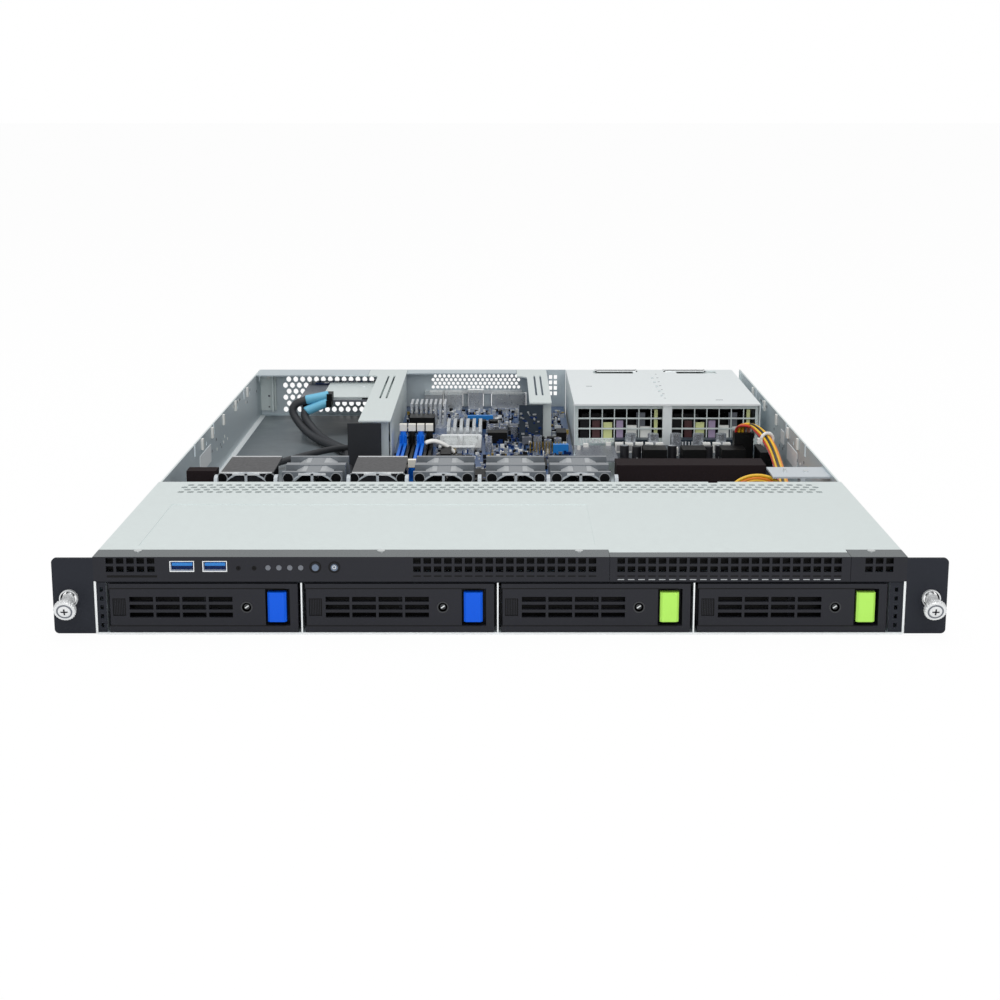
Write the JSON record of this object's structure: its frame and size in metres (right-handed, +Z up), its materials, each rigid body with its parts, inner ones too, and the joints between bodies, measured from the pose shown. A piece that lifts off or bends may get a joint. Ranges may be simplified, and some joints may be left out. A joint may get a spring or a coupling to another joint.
{
  "type": "1u rack server",
  "caption": "Open 1U rack server with hot-swap drive trays, front controls, fans, mainboard, riser brackets and twin plug-in power supplies.",
  "frame": {"origin": "under the middle of the bounding box, level with the chassis underside", "axes": "+X to the right seen from the front, +Y from the front panel to the rear, +Z up"},
  "size_m": [0.4826, 0.7254, 0.0439],
  "materials": {
    "zinc_sheet": "satin",
    "ear_paint": "matt black powder coat",
    "plated_screw": "bright plated",
    "bezel_black": "fine grain",
    "tray_black": "fine grain",
    "latch_blue": "smooth",
    "latch_lime": "smooth",
    "button_grey": "smooth",
    "circuit_board": "solder mask",
    "bracket_grey": "smooth",
    "fan_grey": "smooth",
    "foam": "open cell foam",
    "film": "dull film",
    "socket_metal": "satin",
    "slot_blue": "smooth",
    "fin_aluminium": "plain",
    "component_mix": "smooth",
    "cable_sleeve": "braided sleeve",
    "psu_case": "satin",
    "release_green": "smooth"
  },
  "bodies": {
    "chassis": {"chassis_base": "zinc_sheet", "rear_panel": "zinc_sheet", "rack_ears": "ear_paint", "ear_ferrules": "plated_screw", "control_bezel": "bezel_black", "filler_bezel": "bezel_black", "end_bezel": "bezel_black", "bezel_screws": "plated_screw", "front_cover": "zinc_sheet", "front_panel_board": "circuit_board", "drive_cage": "zinc_sheet", "backplane": "circuit_board", "fan_bracket": "bracket_grey", "fan_housings": "fan_grey", "fan_blanks": "fan_grey", "foam_baffles": "foam", "floor_insulator": "film", "motherboard": "circuit_board", "cpu_socket": "socket_metal", "dimm_sockets": "slot_blue", "heatsinks": "fin_aluminium", "rear_io_ports": "socket_metal", "board_components": "component_mix", "left_riser_bracket": "zinc_sheet", "right_riser_bracket": "zinc_sheet", "adapter_card": "circuit_board", "signal_cables": "cable_sleeve", "wire_harness": "cable_sleeve", "psu_cage": "zinc_sheet", "power_board": "circuit_board"},
    "left_screw_body": {"left_screw": "plated_screw"},
    "right_screw_body": {"right_screw": "plated_screw"},
    "id_button_body": {"id_button": "button_grey"},
    "power_button_body": {"power_button": "button_grey"},
    "nmi_button_body": {"nmi_button": "button_grey"},
    "reset_button_body": {"reset_button": "button_grey"},
    "tray_1_body": {"tray_1": "tray_black"},
    "tray_lever_1_body": {"tray_lever_1": "tray_black"},
    "tray_latch_1_body": {"tray_latch_1": "latch_blue"},
    "fan_1_front_rotor_body": {"fan_1_front_rotor": "fan_grey"},
    "fan_1_rear_rotor_body": {"fan_1_rear_rotor": "fan_grey"},
    "tray_2_body": {"tray_2": "tray_black"},
    "tray_lever_2_body": {"tray_lever_2": "tray_black"},
    "tray_latch_2_body": {"tray_latch_2": "latch_blue"},
    "fan_2_front_rotor_body": {"fan_2_front_rotor": "fan_grey"},
    "fan_2_rear_rotor_body": {"fan_2_rear_rotor": "fan_grey"},
    "tray_3_body": {"tray_3": "tray_black"},
    "tray_lever_3_body": {"tray_lever_3": "tray_black"},
    "tray_latch_3_body": {"tray_latch_3": "latch_lime"},
    "fan_3_front_rotor_body": {"fan_3_front_rotor": "fan_grey"},
    "fan_3_rear_rotor_body": {"fan_3_rear_rotor": "fan_grey"},
    "tray_4_body": {"tray_4": "tray_black"},
    "tray_lever_4_body": {"tray_lever_4": "tray_black"},
    "tray_latch_4_body": {"tray_latch_4": "latch_lime"},
    "fan_4_front_rotor_body": {"fan_4_front_rotor": "fan_grey"},
    "fan_4_rear_rotor_body": {"fan_4_rear_rotor": "fan_grey"},
    "psu_1_body": {"psu_1": "psu_case"},
    "psu_2_body": {"psu_2": "psu_case"},
    "psu_latch_1_body": {"psu_latch_1": "release_green"},
    "psu_latch_2_body": {"psu_latch_2": "release_green"}
  },
  "joints": [
    {"name": "left_screw_turn", "type": "hinge", "parent": "chassis", "child": "left_screw_body", "pos_m": [-0.23255, -0.34976, 0.02045], "axis": [0, 0.9397, 0.342], "continuous": true},
    {"name": "right_screw_turn", "type": "hinge", "parent": "chassis", "child": "right_screw_body", "pos_m": [0.23255, -0.34976, 0.02045], "axis": [0, 0.9397, 0.342], "continuous": true},
    {"name": "id_button_press", "type": "slide", "parent": "chassis", "child": "id_button_body", "axis": [0, 1, 0], "range_m": [0, 0.0008], "stiffness_N_per_m": 600},
    {"name": "power_button_press", "type": "slide", "parent": "chassis", "child": "power_button_body", "axis": [0, 1, 0], "range_m": [0, 0.0008], "stiffness_N_per_m": 600},
    {"name": "nmi_button_press", "type": "slide", "parent": "chassis", "child": "nmi_button_body", "axis": [0, 1, 0], "range_m": [0, 0.0003], "stiffness_N_per_m": 800},
    {"name": "reset_button_press", "type": "slide", "parent": "chassis", "child": "reset_button_body", "axis": [0, 1, 0], "range_m": [0, 0.0003], "stiffness_N_per_m": 800},
    {"name": "tray_1_slide", "type": "slide", "parent": "chassis", "child": "tray_1_body", "axis": [0, -1, 0], "range_m": [0, 0.15]},
    {"name": "tray_lever_1_swing", "type": "hinge", "parent": "tray_1_body", "child": "tray_lever_1_body", "pos_m": [-0.2083, -0.34616, 0.01545], "axis": [0, 0, -1], "range_deg": [0, 50]},
    {"name": "tray_latch_1_press", "type": "slide", "parent": "tray_1_body", "child": "tray_latch_1_body", "axis": [1, 0, 0], "range_m": [0, 0.0018], "stiffness_N_per_m": 700},
    {"name": "tray_2_slide", "type": "slide", "parent": "chassis", "child": "tray_2_body", "axis": [0, -1, 0], "range_m": [0, 0.15]},
    {"name": "tray_lever_2_swing", "type": "hinge", "parent": "tray_2_body", "child": "tray_lever_2_body", "pos_m": [-0.1023, -0.34616, 0.01545], "axis": [0, 0, -1], "range_deg": [0, 50]},
    {"name": "tray_latch_2_press", "type": "slide", "parent": "tray_2_body", "child": "tray_latch_2_body", "axis": [1, 0, 0], "range_m": [0, 0.0018], "stiffness_N_per_m": 700},
    {"name": "tray_3_slide", "type": "slide", "parent": "chassis", "child": "tray_3_body", "axis": [0, -1, 0], "range_m": [0, 0.15]},
    {"name": "tray_lever_3_swing", "type": "hinge", "parent": "tray_3_body", "child": "tray_lever_3_body", "pos_m": [0.0037, -0.34616, 0.01545], "axis": [0, 0, -1], "range_deg": [0, 50]},
    {"name": "tray_latch_3_press", "type": "slide", "parent": "tray_3_body", "child": "tray_latch_3_body", "axis": [1, 0, 0], "range_m": [0, 0.0018], "stiffness_N_per_m": 700},
    {"name": "tray_4_slide", "type": "slide", "parent": "chassis", "child": "tray_4_body", "axis": [0, -1, 0], "range_m": [0, 0.15]},
    {"name": "tray_lever_4_swing", "type": "hinge", "parent": "tray_4_body", "child": "tray_lever_4_body", "pos_m": [0.1097, -0.34616, 0.01545], "axis": [0, 0, -1], "range_deg": [0, 50]},
    {"name": "tray_latch_4_press", "type": "slide", "parent": "tray_4_body", "child": "tray_latch_4_body", "axis": [1, 0, 0], "range_m": [0, 0.0018], "stiffness_N_per_m": 700},
    {"name": "fan_1_front_spin", "type": "hinge", "parent": "chassis", "child": "fan_1_front_rotor_body", "pos_m": [-0.1245, -0.08976, 0.0222], "axis": [0, 1, 0], "continuous": true},
    {"name": "fan_1_rear_spin", "type": "hinge", "parent": "chassis", "child": "fan_1_rear_rotor_body", "pos_m": [-0.1245, -0.08976, 0.0222], "axis": [0, -1, 0], "continuous": true},
    {"name": "fan_2_front_spin", "type": "hinge", "parent": "chassis", "child": "fan_2_front_rotor_body", "pos_m": [-0.0375, -0.08976, 0.0222], "axis": [0, 1, 0], "continuous": true},
    {"name": "fan_2_rear_spin", "type": "hinge", "parent": "chassis", "child": "fan_2_rear_rotor_body", "pos_m": [-0.0375, -0.08976, 0.0222], "axis": [0, -1, 0], "continuous": true},
    {"name": "fan_3_front_spin", "type": "hinge", "parent": "chassis", "child": "fan_3_front_rotor_body", "pos_m": [0.0105, -0.08976, 0.0222], "axis": [0, 1, 0], "continuous": true},
    {"name": "fan_3_rear_spin", "type": "hinge", "parent": "chassis", "child": "fan_3_rear_rotor_body", "pos_m": [0.0105, -0.08976, 0.0222], "axis": [0, -1, 0], "continuous": true},
    {"name": "fan_4_front_spin", "type": "hinge", "parent": "chassis", "child": "fan_4_front_rotor_body", "pos_m": [0.0535, -0.08976, 0.0222], "axis": [0, 1, 0], "continuous": true},
    {"name": "fan_4_rear_spin", "type": "hinge", "parent": "chassis", "child": "fan_4_rear_rotor_body", "pos_m": [0.0535, -0.08976, 0.0222], "axis": [0, -1, 0], "continuous": true},
    {"name": "psu_1_slide", "type": "slide", "parent": "chassis", "child": "psu_1_body", "axis": [0, 1, 0], "range_m": [0, 0.15]},
    {"name": "psu_latch_1_press", "type": "slide", "parent": "psu_1_body", "child": "psu_latch_1_body", "axis": [-1, 0, 0], "range_m": [0, 0.0015], "stiffness_N_per_m": 700},
    {"name": "psu_2_slide", "type": "slide", "parent": "chassis", "child": "psu_2_body", "axis": [0, 1, 0], "range_m": [0, 0.15]},
    {"name": "psu_latch_2_press", "type": "slide", "parent": "psu_2_body", "child": "psu_latch_2_body", "axis": [-1, 0, 0], "range_m": [0, 0.0015], "stiffness_N_per_m": 700}
  ]
}
